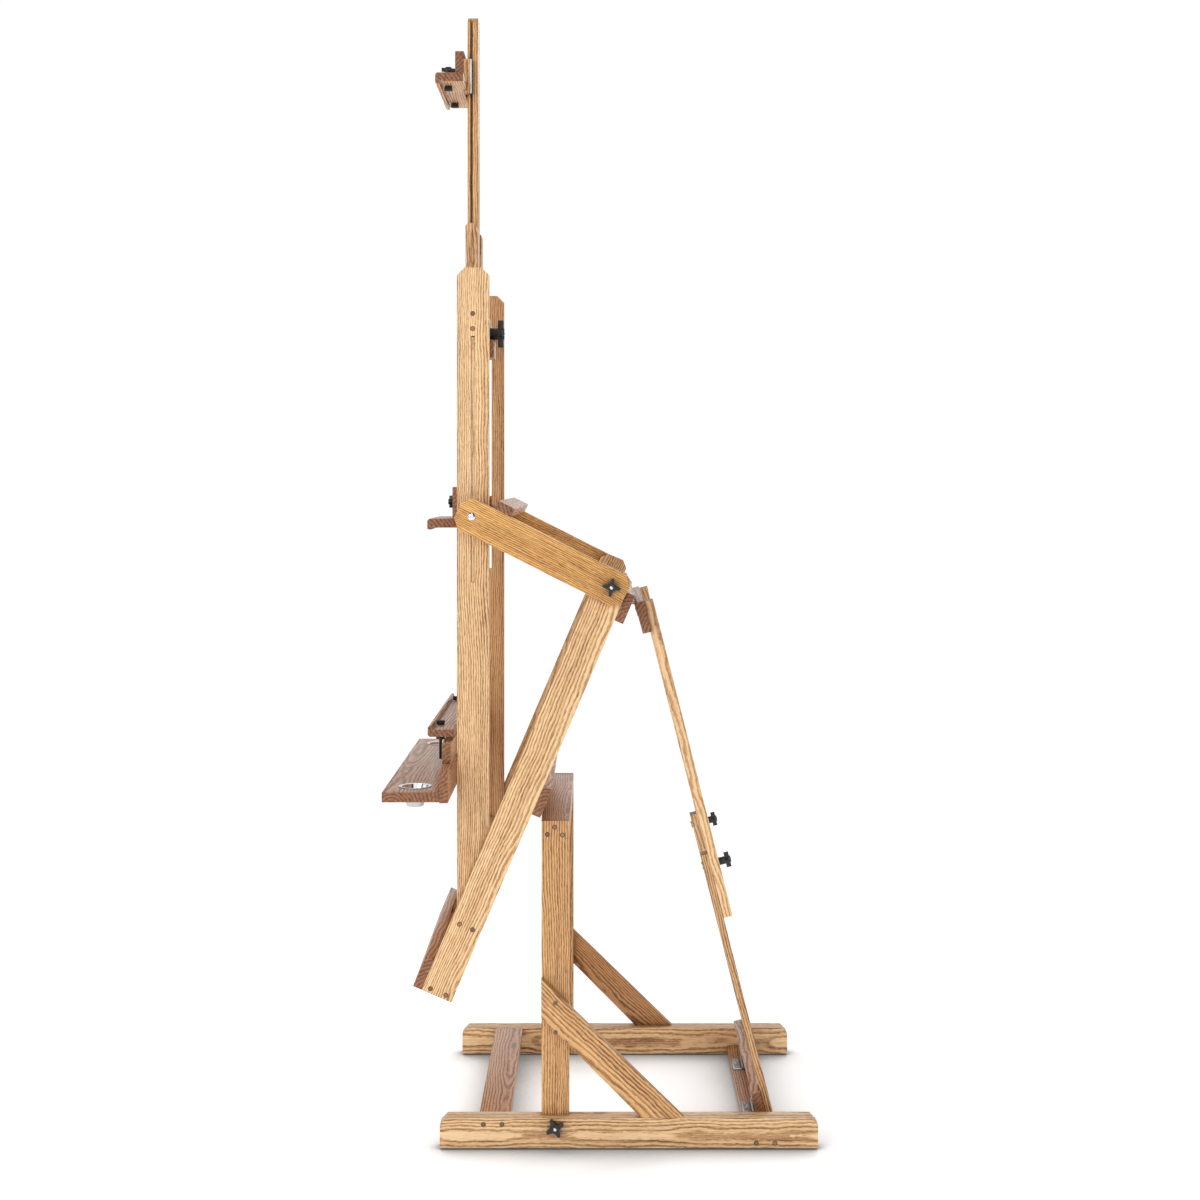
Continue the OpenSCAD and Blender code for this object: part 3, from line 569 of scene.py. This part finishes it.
def zoned(node, mats, cuts):
    """A turning piece whose materials change at cuts, in mm from its start on its axis."""
    at, axis, start, _ = joint_line(node)
    bm = clean_copy(node)
    bevel_edges(bm, 0.6 * MM, 40)
    for f in bm.faces:
        t = ((f.calc_center_median() - at).dot(axis) - start) / MM
        f.material_index = sum(t > c for c in cuts)
    obj = new_object(node + "_piece", bm, mats, 35)
    return place(obj, BODY_OF[node], SLOT_OF[node], node)


def knob_cap(node, radius=3.4, height=1.4):
    """The domed end of the bolt or stud in the middle of a knob."""
    at, axis, _, reach = joint_line(node)
    sunk = -0.3 * MM
    bm = bmesh.new()
    revolve(bm, at + axis * reach, axis, [(sunk, 0.0)] + dome(sunk, radius * MM, height * MM), 24)
    place(new_object(node + "_cap", bm, [chrome]), BODY_OF[node], "chrome")


def hinge_screws(node):
    """A rounded screw head on both faces of each screw hole of a hinge leaf."""
    hole, leaf = 1.8 * MM, 2.0 * MM    # the hole's radius and the leaf's thickness
    smallest, largest = 0.4e-6, 1.0e-6    # area of one facet of a hole, in square metres
    bm = clean_copy(node)
    spots = []    # a hole's centre, its direction, and how many of its facets were met
    for f in bm.faces:
        if not smallest < f.calc_area() < largest:
            continue
        long_edge = max(f.edges, key=lambda e: e.calc_length())
        if not 0.9 * leaf < long_edge.calc_length() < 1.1 * leaf:
            continue
        centre = f.calc_center_median() + f.normal * hole
        direction = (long_edge.verts[1].co - long_edge.verts[0].co).normalized()
        for spot in spots:
            if (spot[0] - centre).length < 0.4 * MM:
                spot[2] += 1
                break
        else:
            spots.append([centre, direction, 1])
    bm.free()
    head = ((-1.9, 0.0), (-1.65, 1.9), (-1.02, 3.2), (1.02, 3.2), (1.65, 1.9), (1.9, 0.0))
    heads = bmesh.new()
    for centre, direction, count in spots:
        if count > 8:
            revolve(heads, centre, direction, [(a * MM, r * MM) for a, r in head], 20)
    if len(heads.faces):
        place(new_object(node + "_screws", heads, [steel]), BODY_OF[node], "steel")


for node in ("base_bolts", "base_hinge_leaves", "base_hinge_pins", "swing_hinge_leaves",
             "swing_pivot_pins", "prop_foot_leaves", "prop_head_leaves", "top_holder_tongues",
             "middle_holder_tongues"):
    dressed(node, steel)
for node in ("base_hinge_leaves", "swing_hinge_leaves", "prop_foot_leaves", "prop_head_leaves"):
    hinge_screws(node)
dressed("prop_bolts", chrome)
slot_bolt_set()
cup_pair()
screw_domes("brace_screws", 4.6 * MM, 1.6 * MM)
for node in ("base_plugs", "swing_plugs", "frame_plugs"):
    plugs(node)
dressed("base_feet", rubber_mat, 0.6)


# ---------- knobs and pads ----------

# What each one is made of from its start on its axis, and where that changes, in mm.
for node in ("base_knob_left", "base_knob_right", "prop_knob_left", "prop_knob_right",
             "slot_knob_left", "slot_knob_right"):
    zoned(node, [black], [])
    knob_cap(node)
for node in ("arm_knob_left", "arm_knob_right"):
    zoned(node, [steel, black], [18.9])
    knob_cap(node)
zoned("mast_knob", [steel, black], [24.5])
knob_cap("mast_knob", 5.0, 2.0)
zoned("middle_knob", [steel, black], [22.2])
for node in ("top_pad_left", "top_pad_right"):
    zoned(node, [rubber_mat, steel, black], [8.8, 28.2])
for node in ("ledge_pad_left", "ledge_pad_right"):
    zoned(node, [rubber_mat, steel, black, stud_steel], [8.05, 23.5, 40.7])


# ---------- stage, light and camera ----------

CAMERA_PLACE = (4.024, -0.059, 1.367)
CAMERA_LENS = 54.4
CAMERA_SHIFT = -0.1
WINDOWS = 4    # pale windows round the room that bright metal mirrors
BACKDROP = 1.02    # brightness of the white behind the easel
FLOOR_Z = -0.0005    # just below the feet


def floor_material():
    """A white studio floor, kept white by its own glow, with a painted contact shadow
    that darkens its colour and glow close to where the easel stands on it.
    """
    g = Graph("studio_floor")
    contact_shadow_ao = g.new("ShaderNodeAmbientOcclusion", {"Distance": 0.24}, samples=8).outputs["AO"]
    # painted contact shadow from ambient occlusion, for both the colour and the glow
    shade = g.ramp(contact_shadow_ao, [(0.0, 0.08), (0.5, 0.34), (0.80, 0.84), (0.93, 1.0)])
    base = g.mix(1.0, (0.80, 0.80, 0.80, 1), shade, "MULTIPLY")
    return g.finish({"Base Color": base, "Roughness": 0.9, "Specular IOR Level": 0.0,
                     "Emission Color": shade, "Emission Strength": 0.58})


def floor():
    """A plain floor, wider than the camera sees."""
    bm = bmesh.new()
    bmesh.ops.create_grid(bm, x_segments=1, y_segments=1, size=30.0)
    obj = new_object("studio_floor", bm, [floor_material()], 0)
    obj.location = (0, 0, FLOOR_Z)


def sky():
    """White behind the easel, and light that is strongest from the sides of the room."""
    g = Graph("studio", "worlds")
    split = g.new("ShaderNodeSeparateXYZ", {0: g.new("ShaderNodeTexCoord").outputs["Generated"]})
    level = g.new("ShaderNodeMath", {0: g.math("ABSOLUTE", split.outputs[2]), 1: -0.95, 2: 1.20},
                  operation="MULTIPLY_ADD").outputs[0]
    # what bright metal mirrors: a room with tall pale windows between dark walls
    turn = g.math("ARCTAN2", split.outputs[1], split.outputs[0])
    wave = g.math("COSINE", g.math("MULTIPLY", turn, WINDOWS))
    room = g.new("ShaderNodeMapRange", {"Value": wave, "From Min": -0.35, "From Max": 0.35,
                                        "To Min": 0.04, "To Max": 1.15}).outputs["Result"]
    rays = g.new("ShaderNodeLightPath")
    lit = g.pick(rays.outputs["Is Glossy Ray"], level, room)
    seen = g.pick(rays.outputs["Is Camera Ray"], lit, BACKDROP)
    back = g.new("ShaderNodeBackground", {0: (1, 1, 1, 1), 1: seen})
    g.new("ShaderNodeOutputWorld", {0: back.outputs[0]})
    bpy.context.scene.world = g.owner


def area_light(name, at, aim, size, power):
    """A square softbox of size metres."""
    data = bpy.data.lights.new(name, "AREA")
    data.shape = "RECTANGLE"
    data.size = data.size_y = size
    data.energy = power
    obj = bpy.data.objects.new(name, data)
    obj.location = at
    obj.rotation_euler = (Vector(aim) - Vector(at)).to_track_quat("-Z", "Y").to_euler()
    bpy.context.scene.collection.objects.link(obj)


def studio():
    """The floor, the light and the camera at the photograph's viewing angle."""
    floor()
    sky()
    area_light("key", at=(3.2, -2.6, 2.6), aim=(0, -0.1, 1.0), size=1.8, power=45)
    area_light("rim", at=(-2.6, 1.2, 3.4), aim=(0, 0, 1.2), size=1.6, power=25)
    bpy.context.scene.view_settings.view_transform = "Standard"
    bpy.context.scene.view_settings.look = "None"
    data = bpy.data.cameras.new("camera")
    data.sensor_width = 36
    data.lens = CAMERA_LENS
    data.shift_y = CAMERA_SHIFT
    camera = bpy.data.objects.new("camera", data)
    camera.location = CAMERA_PLACE
    camera.rotation_euler = (math.radians(90), 0, math.radians(90))
    bpy.context.scene.collection.objects.link(camera)
    bpy.context.scene.camera = camera


studio()
